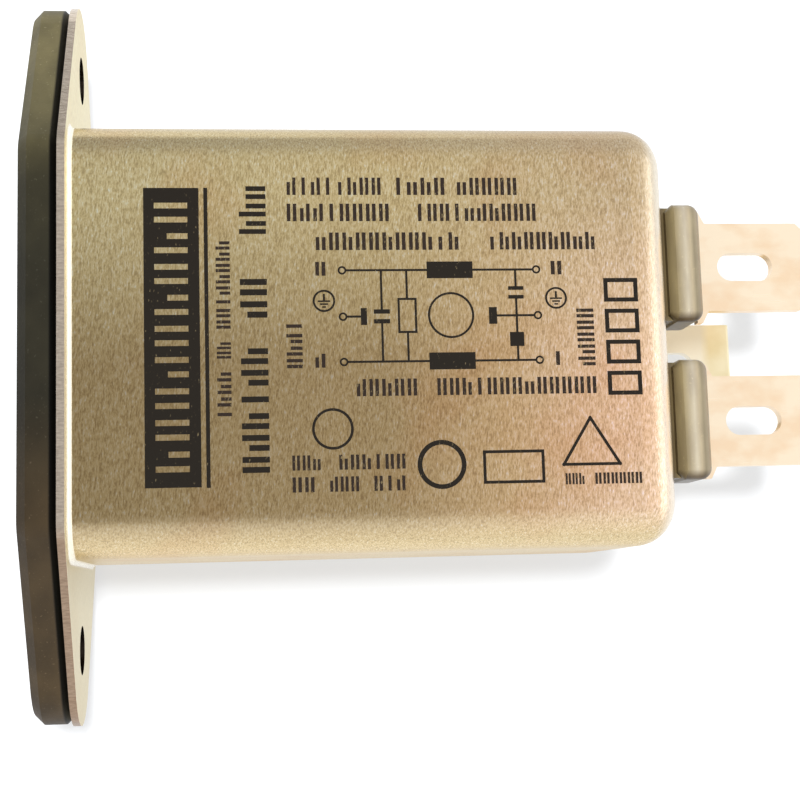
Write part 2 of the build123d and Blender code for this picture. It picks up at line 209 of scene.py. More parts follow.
def drawnTinMaterial(look):
    material, tree, shader = newMaterial("tin plated steel drawn")
    streak = noiseOf(tree, **look["streak"])
    cloud = noiseOf(tree, **look["cloud"])
    places = addNode(tree, "ShaderNodeTexCoord", out="Object")
    place = addNode(tree, "ShaderNodeSeparateXYZ", {}, {0: places}, out=None).outputs
    plating = addNode(
        tree, "ShaderNodeValToRGB", {}, {"Fac": streak},
        stops=[(p, hexColour(code)) for p, code in look["streakTones"]],
    )
    pinkShare = addNode(tree, "ShaderNodeMapRange", look["pinkShare"], {"Value": cloud})
    rustSpot = noiseOf(tree, **look["rustSpot"])
    rustShare = addNode(tree, "ShaderNodeMapRange", look["rustShare"], {"Value": rustSpot})
    # painted shade and highlight: the top's corners are painted unequally bright, fading from the near edge's
    # run along X to the far edge's
    fade = addNode(tree, "ShaderNodeMapRange", look["fade"], {"Value": place["Y"]})
    nearShade = toneAlong(tree, (1, 0, 0), look["nearShade"])
    farShade = toneAlong(tree, (1, 0, 0), look["farShade"])
    shade = addNode(tree, "ShaderNodeMix", cover, {0: fade, 6: nearShade, 7: farShade}, out=2)
    # painted light on the faces towards -Y and painted shade on those towards +Y
    shade = addNode(
        tree, "ShaderNodeMix", {**cover, 7: hexColour(look["paintedNearSide"])},
        {0: facing(tree, (0, -1, 0)), 6: shade}, out=2,
    )
    shade = addNode(
        tree, "ShaderNodeMix", {**tint, 7: hexColour(look["paintedFarSide"])},
        {0: facing(tree, (0, 1, 0)), 6: shade}, out=2,
    )
    # where the surface faces squarely along an axis it is flat, and elsewhere it is a bend
    normal = addNode(tree, "ShaderNodeNewGeometry", out="Normal")
    squared = addNode(tree, "ShaderNodeVectorMath", {"operation": "MULTIPLY"}, {0: normal, 1: normal})
    fourth = addNode(
        tree, "ShaderNodeVectorMath", {"operation": "DOT_PRODUCT"}, {0: squared, 1: squared}, out="Value"
    )
    bend = addNode(tree, "ShaderNodeMapRange", look["bend"], {"Value": fourth})
    endways = addNode(
        tree, "ShaderNodeVectorMath", {"operation": "DOT_PRODUCT", 1: (1, 0, 0)}, {0: squared}, out="Value"
    )
    # painted highlight on the bends, most on those that turn along X
    bendHighlightShare = addNode(tree, "ShaderNodeMapRange", look["bendHighlightShare"], {"Value": endways})
    bendHighlightMask = addNode(tree, "ShaderNodeMath", {"operation": "MULTIPLY"}, {0: bend, 1: bendHighlightShare})
    # the faces square to X, the flange's face among them, are made paler
    squareFaceShare = addNode(tree, "ShaderNodeMapRange", look["squareFaceShare"], {"Value": endways})
    # the sheared edge runs round the flange, in front of its back face and square to it
    before = addNode(
        tree, "ShaderNodeMath", {"operation": "LESS_THAN", 1: look["behindFace"] * mm}, {0: place["X"]}
    )
    square = addNode(tree, "ShaderNodeMath", {"operation": "LESS_THAN", 1: look["edgeways"]}, {0: endways})
    sheared = addNode(tree, "ShaderNodeMath", {"operation": "MULTIPLY"}, {0: before, 1: square})
    shearTone = addNode(
        tree, "ShaderNodeValToRGB", {}, {"Fac": noiseOf(tree, **look["shearLine"])},
        stops=[(p, hexColour(code)) for p, code in look["sheared"]],
    )
    # painted shade where the sheared edge faces -Y
    shearColour = addNode(
        tree, "ShaderNodeMix", {**tint, 7: hexColour(look["shearedNearShade"])},
        {0: facing(tree, (0, -1, 0), *look["shearTurn"]), 6: shearTone}, out=2,
    )
    # the walls of the flange's holes are painted dark: painted shade
    level = addNode(tree, "ShaderNodeMath", {"operation": "ABSOLUTE"}, {0: place["Y"]})
    outwards = addNode(
        tree, "ShaderNodeMath", {"operation": "SUBTRACT", 1: look["holeShadeReach"][0] * mm}, {0: level}
    )
    fromAxis = addNode(tree, "ShaderNodeCombineXYZ", {}, {"Y": outwards, "Z": place["Z"]})
    distance = addNode(
        tree, "ShaderNodeVectorMath", {"operation": "LENGTH"}, {0: fromAxis}, out="Value"
    )
    around = addNode(
        tree, "ShaderNodeMath", {"operation": "LESS_THAN", 1: look["holeShadeReach"][1] * mm}, {0: distance}
    )
    holeShadeMask = addNode(tree, "ShaderNodeMath", {"operation": "MULTIPLY"}, {0: around, 1: square})
    # the bend at the case's mouth is painted whitish and less metallic: a painted highlight
    middle, half = look["paleZone"]
    nearMouth = addNode(
        tree, "ShaderNodeMath", {"operation": "COMPARE", 1: middle * mm, 2: half * mm}, {0: place["X"]}
    )
    turned = addNode(tree, "ShaderNodeMapRange", look["paleTurn"], {"Value": endways})
    rim = addNode(tree, "ShaderNodeMath", {"operation": "MULTIPLY"}, {0: nearMouth, 1: turned})
    paleShare = addNode(tree, "ShaderNodeMapRange", look["paleShare"], {"Value": rim})
    colour = addNode(
        tree, "ShaderNodeMix", {**tint, 7: hexColour(look["pink"])}, {0: pinkShare, 6: plating}, out=2
    )
    colour = addNode(
        tree, "ShaderNodeMix", {**cover, 7: hexColour(look["rust"])}, {0: rustShare, 6: colour}, out=2
    )
    colour = addNode(tree, "ShaderNodeMix", {**tint, 0: 1.0}, {6: colour, 7: shade}, out=2)
    colour = addNode(
        tree, "ShaderNodeMix", {**cover, 7: hexColour(look["bendHighlight"])}, {0: bendHighlightMask, 6: colour}, out=2
    )
    colour = addNode(
        tree, "ShaderNodeMix", {**cover, 7: hexColour(look["pressed"])}, {0: squareFaceShare, 6: colour}, out=2
    )
    colour = addNode(tree, "ShaderNodeMix", cover, {0: sheared, 6: colour, 7: shearColour}, out=2)
    colour = addNode(
        tree, "ShaderNodeMix", {**cover, 7: hexColour(look["holeShade"])}, {0: holeShadeMask, 6: colour}, out=2
    )
    colour = addNode(
        tree, "ShaderNodeMix", {**cover, 7: hexColour(look["pale"])}, {0: paleShare, 6: colour}, out=2
    )
    metal = addNode(tree, "ShaderNodeMapRange", look["paleMetal"], {"Value": rim})
    flatRough = addNode(tree, "ShaderNodeMapRange", look["roughness"], {"Value": bend})
    drift = addNode(tree, "ShaderNodeMapRange", look["roughDrift"], {"Value": cloud})
    rough = addNode(tree, "ShaderNodeMath", {"operation": "ADD"}, {0: flatRough, 1: drift})
    bumpShare = addNode(tree, "ShaderNodeMapRange", look["bumpShare"], {"Value": bend})
    bump = addNode(
        tree, "ShaderNodeBump", {"Distance": look["bump"] * mm}, {"Height": streak, "Strength": bumpShare}
    )
    for socket, source in (("Base Color", colour), ("Metallic", metal), ("Roughness", rough), ("Normal", bump)):
        tree.links.new(source, shader.inputs[socket])
    return material


# Metal strip and wire: one colour that clouds slowly into another, with drawing or rolling
# lines along the piece in its surface. Real lines are finer, and these are drawn as coarse
# as they need to be to show.
strip = {
    "tones": (0.38, 0.60),  # where in the clouds the dark colour ends and the light one begins
    "lineDetail": 2.0,
    "cloudDetail": 3.0,
    "roughDrift": 0.06,
}


def stripMaterial(name, look):
    material, tree, shader = newMaterial(name)
    line = noiseOf(tree, look["line"], strip["lineDetail"])
    cloud = noiseOf(tree, look["cloud"], strip["cloudDetail"])
    colour = addNode(
        tree, "ShaderNodeValToRGB", {}, {"Fac": cloud},
        stops=[(strip["tones"][0], hexColour(look["dark"])), (strip["tones"][1], hexColour(look["light"]))],
    )
    shader.inputs["Metallic"].default_value = 1.0
    if "paintedGlare" in look:
        # painted pale as far as a place along the strip: a painted highlight
        places = addNode(tree, "ShaderNodeTexCoord", out="Object")
        reach = addNode(
            tree, "ShaderNodeVectorMath", {"operation": "DOT_PRODUCT", 1: (1, 0, 0)}, {0: places}, out="Value"
        )
        paintedGlare = addNode(
            tree, "ShaderNodeMapRange",
            {"From Min": look["paintedGlare"][1] * mm, "From Max": look["paintedGlare"][0] * mm}, {"Value": reach},
        )
        colour = addNode(
            tree, "ShaderNodeMix", {**cover, 7: hexColour(look["paintedGlareColour"])},
            {0: paintedGlare, 6: colour}, out=2,
        )
        metal = addNode(tree, "ShaderNodeMapRange", look["paintedGlareMetal"], {"Value": paintedGlare})
        tree.links.new(metal, shader.inputs["Metallic"])
    rough = addNode(
        tree, "ShaderNodeMapRange",
        {"To Min": look["roughness"] - strip["roughDrift"], "To Max": look["roughness"] + strip["roughDrift"]},
        {"Value": line},
    )
    bump = addNode(tree, "ShaderNodeBump", {"Distance": look["bump"] * mm}, {"Height": line})
    for socket, source in (("Base Color", colour), ("Roughness", rough), ("Normal", bump)):
        tree.links.new(source, shader.inputs[socket])
    return material


# Moulded, pressed or dipped pieces: an even body colour with a faint mottle, the grain of
# the mould's wall or the coat, and here and there a fleck of dust. The grain is finer on the
# real pieces, and is drawn as coarse as it needs to be to show.
skin = {
    "tones": (0.35, 0.65),  # where in the mottle the dark colour ends and the light one begins
    "mottleDetail": 3.0,
    "grainDetail": 2.0,
    "fleck": {"size": (0.14, 0.2, 0.14), "detail": 1.0, "turn": 30},
    "fleckShare": {"From Min": 0.68, "From Max": 0.78, "To Max": 0.45},
    "roughDrift": 0.08,
    "shine": 0.5,
}


def mouldedMaterial(name, look):
    material, tree, shader = newMaterial(name)
    mottle = noiseOf(tree, look["mottle"], skin["mottleDetail"])
    grain = noiseOf(tree, look["grain"], skin["grainDetail"])
    fleck = noiseOf(tree, **skin["fleck"])
    fleckShare = addNode(tree, "ShaderNodeMapRange", skin["fleckShare"], {"Value": fleck})
    body = addNode(
        tree, "ShaderNodeValToRGB", {}, {"Fac": mottle},
        stops=[(skin["tones"][0], hexColour(look["dark"])), (skin["tones"][1], hexColour(look["light"]))],
    )
    colour = addNode(
        tree, "ShaderNodeMix", {**cover, 7: hexColour(look["fleck"])}, {0: fleckShare, 6: body}, out=2
    )
    # colours laid as tints along a direction: painted shade and highlight on the bushings, and on the inlet a
    # painted shadow by the flange
    for way, stops in look.get("tones", []):
        tone = toneAlong(tree, way, stops)
        colour = addNode(tree, "ShaderNodeMix", {**tint, 0: 1.0}, {6: colour, 7: tone}, out=2)
    if "paintedNearSide" in look:  # the side towards -Y is darkened as painted shade
        colour = addNode(
            tree, "ShaderNodeMix", {**tint, 7: hexColour(look["paintedNearSide"])},
            {0: facing(tree, (0, -1, 0)), 6: colour}, out=2,
        )
    rough = addNode(
        tree, "ShaderNodeMapRange",
        {"To Min": look["roughness"] - skin["roughDrift"], "To Max": look["roughness"] + skin["roughDrift"]},
        {"Value": grain},
    )
    bump = addNode(tree, "ShaderNodeBump", {"Distance": look["bump"] * mm}, {"Height": grain})
    for socket, source in (("Base Color", colour), ("Roughness", rough), ("Normal", bump)):
        tree.links.new(source, shader.inputs[socket])
    shader.inputs["IOR"].default_value = look["ior"]
    shader.inputs["Specular IOR Level"].default_value = look.get("shine", skin["shine"])
    return material


# Stamped brass strip, hot tinned: bright and creamy, peach where the tin is thin
stampedTin = {
    "light": "#FFEDD2", "dark": "#FADFBE", "line": (3.0, 0.14, 0.14), "cloud": (2.6, 1.8, 2.6),
    "roughness": 0.30, "bump": 0.003,
}
# Plated steel strip, folded: a little yellower than the load tabs, and painted pale beside its fold as a
# painted highlight
earthStrip = {
    "light": "#FAEDC8", "dark": "#F2E2B6", "line": (3.0, 0.14, 0.14), "cloud": (3.0, 2.0, 3.0),
    "roughness": 0.32, "bump": 0.003, "paintedGlare": (46.3, 47.0), "paintedGlareColour": "#F1E9D4",
    "paintedGlareMetal": {"To Min": 1.0, "To Max": 0.85},
}
# Brass contact pins, plated: pale warm silver, polished by the stamping
platedBrass = {
    "light": "#EDE3C4", "dark": "#D8C9A0", "line": (3.0, 0.12, 0.12), "cloud": (1.8, 1.8, 1.8),
    "roughness": 0.24, "bump": 0.003,
}
# Copper wire, drawn and enamelled: red brown metal under a clear coat
enamelledCopper = {
    "light": "#D08A5C", "dark": "#A8623C", "line": (1.5, 1.5, 0.15), "cloud": (2.0, 2.0, 2.0),
    "roughness": 0.24, "bump": 0.002,
}
# Copper wire, hot tinned: soft bright silver
tinnedWire = {
    "light": "#DDDDDA", "dark": "#C4C4C0", "line": (0.8, 0.8, 0.8), "cloud": (1.5, 1.5, 1.5),
    "roughness": 0.28, "bump": 0.004,
}
# Nylon filled with glass, injection moulded: near black and dull. Its colour turns olive towards
# +Y and brown towards -Y, and its edge by the flange is painted black as painted shadow in the
# gap there.
inletNylon = {
    "light": "#A59F8C", "dark": "#8A8575", "fleck": "#FFFFFF", "mottle": (2.4, 3.5, 2.4),
    "grain": (0.16, 0.16, 0.16), "roughness": 0.55, "bump": 0.008, "ior": 1.53, "shine": 0.25,
    "tones": [
        ((0, 1, 0), [(-22, "#6A5A45"), (-11, "#5A4D3D"), (-4, "#3C3A31"), (5, "#3A3930"),
                     (10, "#504E40"), (14, "#7C785F"), (22, "#9C9676")]),
        # painted shadow at the edge by the flange
        ((1, 0, 0), [(-3.0, "#FFFFFF"), (-1.05, "#FFFFFF"), (-0.90, "#1C1C22"), (0.5, "#1C1C22"),
                     (1.5, "#FFFFFF")]),
    ],
}
# Nylon, injection moulded: warm mid grey, smooth enough to carry a soft highlight. The foot
# by the case is painted dark as painted shade, and the head is painted palest along its
# middle as a painted highlight.
bushingNylon = {
    "light": "#A49B88", "dark": "#928979", "fleck": "#C2B79C", "mottle": (0.7, 3.0, 0.7),
    "grain": (0.12, 0.12, 0.12), "roughness": 0.34, "bump": 0.004, "ior": 1.53,
    "tones": [
        # painted shade at the foot and the head's edges, and a painted highlight along the head's middle
        ((1, 0, 0), [(39.3, "#6C6270"), (40.2, "#6E5F48"), (40.6, "#9A9072"), (41.1, "#CFC7AC"),
                     (41.7, "#FFFFFF"), (42.05, "#F2ECDE"), (42.3, "#C4BFAE"), (42.9, "#E4D8C8")]),
    ],
    # painted shade on the faces towards -Y
    "paintedNearSide": "#8E7E66",
}
# Card, pressed and calendered: off white and matt, with a fibrous surface
linerCard = {
    "light": "#D9D4C4", "dark": "#C6BFA9", "fleck": "#A89E84", "mottle": (0.9, 0.9, 0.9),
    "grain": (0.15, 0.6, 0.15), "roughness": 0.80, "bump": 0.010, "ior": 1.50,
}
# Ferrite with a sprayed epoxy coat: leaf green with a slight orange peel
coatedFerrite = {
    "light": "#5C7A5A", "dark": "#4C684B", "fleck": "#8FA68A", "mottle": (1.0, 1.0, 1.0),
    "grain": (0.25, 0.25, 0.25), "roughness": 0.35, "bump": 0.012, "ior": 1.55,
}
# White nylon, injection moulded: plain and milky
dividerNylon = {
    "light": "#E2E0D8", "dark": "#D3D0C5", "fleck": "#B8B4A6", "mottle": (1.4, 1.4, 1.4),
    "grain": (0.12, 0.12, 0.12), "roughness": 0.45, "bump": 0.004, "ior": 1.53,
}
# Polyester box, moulded: warm yellow, satin
capacitorBox = {
    "light": "#E3B23C", "dark": "#D39F2C", "fleck": "#B98A20", "mottle": (1.5, 1.5, 1.5),
    "grain": (0.12, 0.12, 0.12), "roughness": 0.38, "bump": 0.005, "ior": 1.56,
}
# Epoxy powder, dipped and baked: mid blue with a soft, slightly lumpy skin
discCoating = {
    "light": "#2F6FA8", "dark": "#265E92", "fleck": "#5E93C0", "mottle": (1.1, 1.1, 1.1),
    "grain": (0.30, 0.30, 0.30), "roughness": 0.40, "bump": 0.015, "ior": 1.55,
}
# Lacquer on a small film resistor, dipped: sand coloured, glossy
resistorLacquer = {
    "light": "#C9A77A", "dark": "#B9966A", "fleck": "#8C6C44", "mottle": (0.8, 0.8, 0.8),
    "grain": (0.20, 0.20, 0.20), "roughness": 0.25, "bump": 0.006, "ior": 1.52,
}

tabTin = stripMaterial("tinned brass stamped", stampedTin)
stripTin = stripMaterial("tinned steel strip folded", earthStrip)
pinBrass = stripMaterial("plated brass stamped", platedBrass)
wireTin = stripMaterial("tinned copper wire", tinnedWire)
windingCopper = stripMaterial("copper wire enamelled", enamelledCopper)
bushing = mouldedMaterial("grey nylon moulded", bushingNylon)
disc = mouldedMaterial("epoxy powder dipped", discCoating)
finishes = {
    "housing_can": drawnTinMaterial(drawnTin),
    "inlet_body": mouldedMaterial("black nylon moulded", inletNylon),
    "line_pin": pinBrass,
    "neutral_pin": pinBrass,
    "earth_pin": pinBrass,
    "line_load_tab": tabTin,
    "neutral_load_tab": tabTin,
    "line_bushing": bushing,
    "neutral_bushing": bushing,
    "earth_tab": stripTin,
    "earth_strap": stripTin,
    "insulating_liner": mouldedMaterial("insulating card pressed", linerCard),
    "choke_core": mouldedMaterial("ferrite coated with epoxy", coatedFerrite),
    "choke_divider": mouldedMaterial("white nylon moulded", dividerNylon),
    "line_winding": windingCopper,
    "neutral_winding": windingCopper,
    "x_capacitor": mouldedMaterial("polyester box moulded", capacitorBox),
    "x_capacitor_leads": wireTin,
    "line_y_capacitor": disc,
    "neutral_y_capacitor": disc,
    "line_y_capacitor_leads": wireTin,
    "neutral_y_capacitor_leads": wireTin,
    "bleed_resistor": mouldedMaterial("resistor lacquer dipped", resistorLacquer),
    "bleed_resistor_leads": wireTin,
}
for name, node in nodes.items():
    for slotIndex in range(len(node.material_slots)):
        node.material_slots[slotIndex].material = finishes[name]
print("finishes given to", len(finishes), "nodes")


# Screen print on the case's top: dark brown ink, matt and a little worn, with the metal
# showing through in nicks along its streaks, drawn as coarse as they need to be to show
printInk = {"ink": "#191510", "bare": "#8F8060", "worn": {"From Min": 0.68, "From Max": 0.80}}
# The ink of the smaller rows is thinner and more worn
thinInk = {"ink": "#241C17", "bare": "#A08F6A", "worn": {"From Min": 0.63, "From Max": 0.76}}
# What both inks share
inkSkin = {
    "nick": {"size": (0.10, 0.34, 0.10), "detail": 2.0, "turn": 6, "rough": 0.6},
    "roughness": {"To Min": 0.66, "To Max": 0.50},
    "shine": 0.2,
}


def inkMaterial(name, look):
    material, tree, shader = newMaterial(name)
    nick = noiseOf(tree, **inkSkin["nick"])
    worn = addNode(tree, "ShaderNodeMapRange", look["worn"], {"Value": nick})
    colour = addNode(
        tree, "ShaderNodeMix", {**cover, 6: hexColour(look["ink"]), 7: hexColour(look["bare"])},
        {0: worn}, out=2,
    )
    rough = addNode(tree, "ShaderNodeMapRange", inkSkin["roughness"], {"Value": nick})
    for socket, source in (("Base Color", colour), ("Metallic", worn), ("Roughness", rough)):
        tree.links.new(source, shader.inputs[socket])
    shader.inputs["Specular IOR Level"].default_value = inkSkin["shine"]
    return material


inkFull = inkMaterial("screen print ink", printInk)
inkThin = inkMaterial("screen print ink thin", thinInk)

printBase = {
    "level": 10.25,  # half the case's height
    "thickness": 0.018,
    "step": 0.0002,  # each shape is a hair higher than the last, so none share a face
}


def printPiece(name, outlines, material, rings=()):
    # flat closed plates of ink on the case: one for each outline and one for each ring
    build = bmesh.new()
    low = printBase["level"] * mm
    for i, outline in enumerate(outlines):
        high = low + (printBase["thickness"] + i * printBase["step"]) * mm
        foot = [build.verts.new((x * mm, y * mm, low)) for x, y in outline]
        head = [build.verts.new((x * mm, y * mm, high)) for x, y in outline]
        build.faces.new(head)
        build.faces.new(foot[::-1])
        for k in range(len(foot)):
            n = (k + 1) % len(foot)
            build.faces.new((foot[k], foot[n], head[n], head[k]))
    for (x, y), radius, width, steps in rings:
        high = low + (printBase["thickness"] - printBase["step"]) * mm
        loops = []
        for r, z in ((radius - width / 2, low), (radius + width / 2, low),
                     (radius + width / 2, high), (radius - width / 2, high)):
            angles = [2 * math.pi * k / steps for k in range(steps)]
            loops.append([
                build.verts.new(((x + r * math.cos(a)) * mm, (y + r * math.sin(a)) * mm, z)) for a in angles
            ])
        for a, b in zip(loops, loops[1:] + loops[:1]):
            for k in range(steps):
                n = (k + 1) % steps
                build.faces.new((a[k], a[n], b[n], b[k]))
    bmesh.ops.recalc_face_normals(build, faces=build.faces)
    mesh = bpy.data.meshes.new(name)
    build.to_mesh(mesh)
    build.free()
    mesh.materials.append(material)
    piece = bpy.data.objects.new(name, mesh)
    bpy.context.scene.collection.objects.link(piece)
    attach(piece, "root")
    return piece


def bar(left, bottom, right, top):
    return [(left, bottom), (right, bottom), (right, top), (left, top)]


def stroke(start, end, width):
    # a straight line of this width from start to end
    dx, dy = end[0] - start[0], end[1] - start[1]
    length = math.hypot(dx, dy)
    sideX, sideY = -dy / length * width / 2, dx / length * width / 2
    return [
        (start[0] + sideX, start[1] + sideY), (start[0] - sideX, start[1] - sideY),
        (end[0] - sideX, end[1] - sideY), (end[0] + sideX, end[1] + sideY),
    ]


def loopOf(corners, width):
    # an outline drawn with square-ended lines, each long enough to close its corner
    shapes = []
    for a, b in zip(corners, corners[1:] + corners[:1]):
        length = math.hypot(b[0] - a[0], b[1] - a[1])
        ux, uy = (b[0] - a[0]) / length * width / 2, (b[1] - a[1]) / length * width / 2
        shapes.append(stroke((a[0] - ux, a[1] - uy), (b[0] + ux, b[1] + uy), width))
    return shapes


# Dark field of print: a block with pairs of bare bars in it, and a thin rule beside it
nameField = {
    "block": (4.83, -9.85, 8.34, 9.38),
    "rule": (8.65, -9.90, 8.90, 9.39),
    "window": (5.50, 7.62),  # where the bars start and end along X
    "windowWidth": 0.38,
    "windowPitch": 2.00,
    "windowPair": 0.92,  # between the two bars of a pair
    "shortBars": (1, 6, 11, 15),  # these have only this share of the full length
    "short": 0.62,
    "windowCount": 9,
}


def nameFieldOutlines(look):
    left, bottom, right, top = look["block"]
    start, end = look["window"]
    middle = (bottom + top) / 2
    first = middle - look["windowPitch"] * (look["windowCount"] - 1) / 2 - look["windowPair"] / 2
    edges = [bottom]
    shapes = [bar(left, bottom, start, top), bar(end, bottom, right, top), bar(*look["rule"])]
    for i in range(look["windowCount"] * 2):
        low = first + i // 2 * look["windowPitch"] + i % 2 * look["windowPair"] - look["windowWidth"] / 2
        high = low + look["windowWidth"]
        edges += [low, high]
        if i in look["shortBars"]:
            shapes.append(bar(start, low, end - (end - start) * look["short"], high))
    edges.append(top)
    for low, high in zip(edges[::2], edges[1::2]):
        shapes.append(bar(start, low, end, high))
    return shapes


printPiece("print_name_field", nameFieldOutlines(nameField), inkFull)

# Wiring diagram of the filter, in plain symbols
diagram = {
    "line": 0.14,
    "left": 17.45,
    "right": 30.15,
    "upper": 3.94,
    "middle": 0.91,
    "lower": -2.03,
    "terminal": 0.22,
    "terminalLine": 0.85,  # of the other lines' width
    "terminalSteps": 20,
    "chokes": (22.95, 25.95),
    "chokeHeight": 1.10,
    "capacitor": 19.96,
    "plate": (1.04, 0.28),
    "plateGap": 0.36,
    "resistor": (21.06, -0.12, 22.16, 2.04),
    "ringRadius": 1.44,
    "ringLift": 0.05,  # above the middle line
    "ringSteps": 64,
    "leftBar": (18.60, 18.99),
    "rightBar": (26.93, 27.45),
    "barHeight": 1.10,
    "chain": 28.75,
    "chainPlates": 2.42,
    "chainPlate": (0.5, 0.12, 0.29),  # half its width and height, and how far it is from the middle
    "chainBlock": (28.26, -1.11, 29.18, -0.19),
}


def diagramShapes(look):
    w, up, mid, low = look["line"], look["upper"], look["middle"], look["lower"]
    clear = look["terminal"]
    chokeLeft, chokeRight = look["chokes"]
    shapes, rings = [], []
    for level in (up, low):
        half = look["chokeHeight"] / 2
        shapes.append(stroke((look["left"] + clear, level), (chokeLeft, level), w))
        shapes.append(stroke((chokeRight, level), (look["right"] - clear, level), w))
        shapes.append(bar(chokeLeft, level - half, chokeRight, level + half))
    for level in (up, mid, low):
        for side in (look["left"], look["right"]):
            rings.append(((side, level), clear, w * look["terminalLine"], look["terminalSteps"]))
    centre = ((chokeLeft + chokeRight) / 2, mid + look["ringLift"])
    rings.append((centre, look["ringRadius"], w, look["ringSteps"]))
    # capacitor across the lines
    x = look["capacitor"]
    plateWidth, plateHeight = look["plate"]
    for side, edge in ((1, up), (-1, low)):
        plate = mid + side * (look["plateGap"] / 2 + plateHeight / 2)
        shapes.append(stroke((x, edge), (x, plate), w))
        shapes.append(bar(
            x - plateWidth / 2, plate - plateHeight / 2, x + plateWidth / 2, plate + plateHeight / 2
        ))
    # a plate at each side's earth terminal
    halfBar = look["barHeight"] / 2
    shapes.append(bar(look["leftBar"][0], mid - halfBar, look["leftBar"][1], mid + halfBar))
    shapes.append(stroke((look["left"] + clear, mid), (look["leftBar"][0], mid), w))
    shapes.append(bar(look["rightBar"][0], mid - halfBar, look["rightBar"][1], mid + halfBar))
    shapes.append(stroke((look["rightBar"][1], mid), (look["right"] - clear, mid), w))
    # discharge resistor, an open box between the lines
    left, bottom, right, top = look["resistor"]
    shapes += loopOf(bar(left, bottom, right, top), w)
    middle = (left + right) / 2
    shapes.append(stroke((middle, up), (middle, top), w))
    shapes.append(stroke((middle, low), (middle, bottom), w))
    # chain of capacitors to earth on the load side
    x = look["chain"]
    halfWidth, halfHeight, away = look["chainPlate"]
    for k in (-1, 1):
        plate = look["chainPlates"] + k * away
        shapes.append(bar(x - halfWidth, plate - halfHeight, x + halfWidth, plate + halfHeight))
    shapes.append(stroke((x, up), (x, look["chainPlates"] + away), w))
    shapes.append(stroke((x, look["chainPlates"] - away), (x, look["chainBlock"][3]), w))
    shapes.append(bar(*look["chainBlock"]))
    shapes.append(stroke((x, look["chainBlock"][1]), (x, low), w))
    return shapes, rings


diagramBars, diagramRings = diagramShapes(diagram)
printPiece("print_diagram", diagramBars, inkFull, diagramRings)

# Protective earth symbols at both sides: a ring with a stem and three bars
earthMarks = {
    "places": [(16.25, 1.95), (31.39, 2.04)],
    "radius": 0.66,
    "steps": 40,
    "line": 0.13,
    "stem": (0.45, -0.02),  # from and to, above the middle
    "bars": (0.40, 0.26, 0.12),  # half the length of each
    "barStep": 0.19,
    "barLine": 0.10,
}


def earthMarkShapes(look):
    shapes, rings = [], []
    for x, y in look["places"]:
        rings.append(((x, y), look["radius"], look["line"], look["steps"]))
        stemTop, stemFoot = look["stem"]
        shapes.append(stroke((x, y + stemTop), (x, y + stemFoot), look["line"]))
        for k, half in enumerate(look["bars"]):
            level = y + stemFoot - look["barStep"] * k
            shapes.append(stroke((x - half, level), (x + half, level), look["barLine"]))
    return shapes, rings


earthBars, earthRings = earthMarkShapes(earthMarks)
printPiece("print_earth_marks", earthBars, inkFull, earthRings)

# Rows of print as pairs of plain upright bars, one pair to a place. Each row is the level of
# its foot, its height, its places' pitch and where its runs of bars start and end.
rows = {
    "above": [
        (8.93, 1.15, 0.84, [(13.89, 20.2), (20.8, 24.4), (25.0, 29.17)]),
        (7.19, 1.15, 0.84, [(13.86, 20.7), (22.2, 30.37)]),
        (5.28, 1.15, 0.84, [(15.69, 25.2), (26.9, 34.22)]),
    ],
    "below": [
        (-4.25, 1.10, 0.82, [(18.11, 22.2), (23.3, 33.91)]),
        (-8.92, 0.95, 0.70, [(13.94, 15.9), (16.9, 21.30)]),
        (-10.30, 0.95, 0.70, [(13.91, 15.5), (16.3, 18.3), (19.1, 21.26)]),
        (-10.14, 0.72, 0.52, [(31.47, 32.8), (33.4, 36.60)]),
    ],
    "terminals": [
        (3.60, 0.90, 0.9, [(15.62, 16.50), (31.0, 31.95)]),
        (-2.38, 0.90, 0.9, [(15.50, 16.38), (30.88, 31.82)]),
    ],
}
# Columns that run up the case: left and right edges, the places' pitch, and runs along Y
columns = {
    "small": (9.38, 10.28, 0.78, [(-5.69, -2.5), (-1.8, -0.6), (0.1, 5.97)]),
    "large": (10.90, 12.62, 1.35, [(-9.20, -0.9), (0.7, 3.6), (6.2, 9.65)]),
    "lines": (13.80, 14.82, 0.85, [(-2.50, 0.73)]),
    "loads": (32.70, 33.83, 0.85, [(-2.54, 1.42)]),
}
bars = {
    "thick": 0.27,  # a bar's width and the spread of a pair, as shares of the pitch
    "spread": 0.46,
    "low": 0.74,  # a low bar's share of the row's height
    "lowShare": 0.22,  # how many bars are low, and how many places have a single bar
    "singleShare": 0.08,
    "seed": 7,
}
dice = random.Random(bars["seed"])


def runOfBars(start, end, pitch):
    # spans of the bars in one run, with each one's share of the row's height
    count = max(1, round((end - start) / pitch))
    step = (end - start) / count
    half = step * bars["thick"] / 2
    spans = []
    for i in range(count):
        centre = start + (i + 0.5) * step
        offsets = (0,) if dice.random() < bars["singleShare"] else (-0.5, 0.5)
        for offset in offsets:
            middle = centre + offset * bars["spread"] * step
            share = bars["low"] if dice.random() < bars["lowShare"] else 1
            spans.append((middle - half, middle + half, share))
    return spans


for group, lines in rows.items():
    shapes = []
    for foot, height, pitch, runs in lines:
        for start, end in runs:
            for a, b, share in runOfBars(start, end, pitch):
                shapes.append(bar(a, foot, b, foot + height * share))
    printPiece("print_rows_" + group, shapes, inkThin)

for group, (left, right, pitch, runs) in columns.items():
    shapes = []
    for start, end in runs:
        for a, b, share in runOfBars(start, end, pitch):
            shapes.append(bar(right - (right - left) * share, a, right, b))
    printPiece("print_column_" + group, shapes, inkThin if group != "large" else inkFull)

